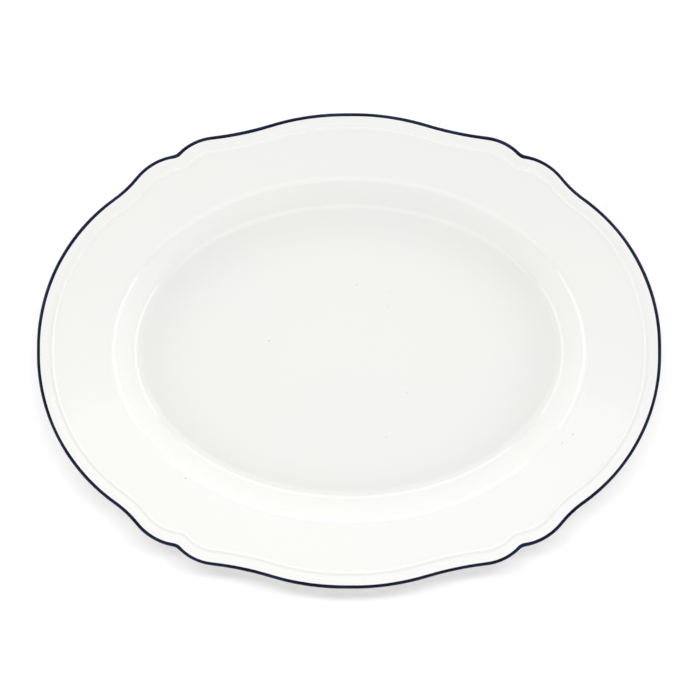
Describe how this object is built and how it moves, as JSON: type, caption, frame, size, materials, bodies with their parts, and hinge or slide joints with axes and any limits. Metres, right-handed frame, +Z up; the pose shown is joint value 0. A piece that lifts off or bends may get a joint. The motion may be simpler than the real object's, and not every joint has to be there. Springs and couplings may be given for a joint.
{
  "type": "serving platter",
  "caption": "Oval white glazed serving platter with a lobed edge notched in each quarter, a fine moulded thread round the rim, a dark blue line on the lip, an oval well and a foot ring.",
  "frame": {"origin": "on the table under the middle of the platter, level with the tread of the foot ring", "axes": "+X along the length, +Y across the width, +Z up out of the well"},
  "size_m": [0.34, 0.259, 0.0343],
  "materials": {
    "bare_porcelain": "matt, unglazed",
    "white_glaze": "gloss, clear glaze over white porcelain",
    "blue_enamel": "gloss, dark cobalt blue line"
  },
  "bodies": {
    "root": {"porcelain_body": "bare_porcelain", "face_glaze": "white_glaze", "back_glaze": "white_glaze", "base_glaze": "white_glaze", "rim_line": "blue_enamel"}
  },
  "joints": []
}
